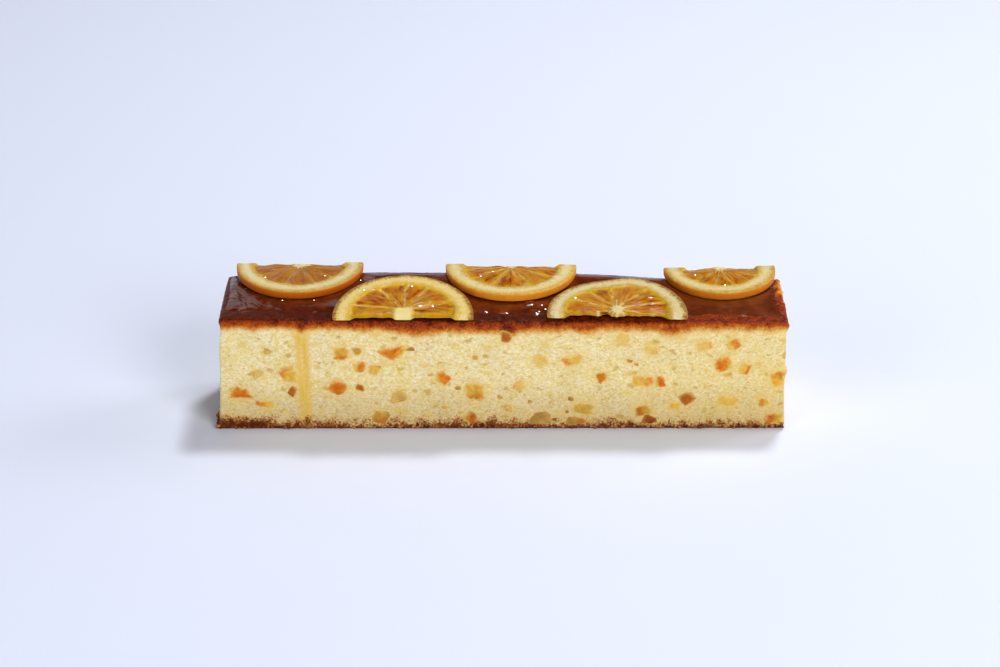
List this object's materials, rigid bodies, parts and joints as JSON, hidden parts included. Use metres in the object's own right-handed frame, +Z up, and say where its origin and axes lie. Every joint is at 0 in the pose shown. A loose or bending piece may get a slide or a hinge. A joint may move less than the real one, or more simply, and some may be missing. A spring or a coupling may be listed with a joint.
{
  "type": "pound cake",
  "caption": "Long trimmed bar of orange pound cake with candied peel dice in its crumb, a browned glazed top and half slices of candied orange laid along it.",
  "frame": {"origin": "on the surface that the cake stands on, under the middle of its box", "axes": "+X along the bar to its right end, -Y towards the cut front face with the drip of glaze, +Z up"},
  "size_m": [0.2508, 0.0494, 0.0593],
  "materials": {
    "crumb": "matte open crumb, browned on top and along the foot",
    "candied_orange": "glossy, translucent, sticky with syrup",
    "candied_peel": "moist, slightly glossy dice of candied peel",
    "glaze": "thin glossy amber glaze"
  },
  "bodies": {
    "root": {"cake": "crumb", "orange_slice_1": "candied_orange", "orange_slice_2": "candied_orange", "orange_slice_3": "candied_orange", "orange_slice_4": "candied_orange", "orange_slice_5": "candied_orange"}
  },
  "joints": []
}
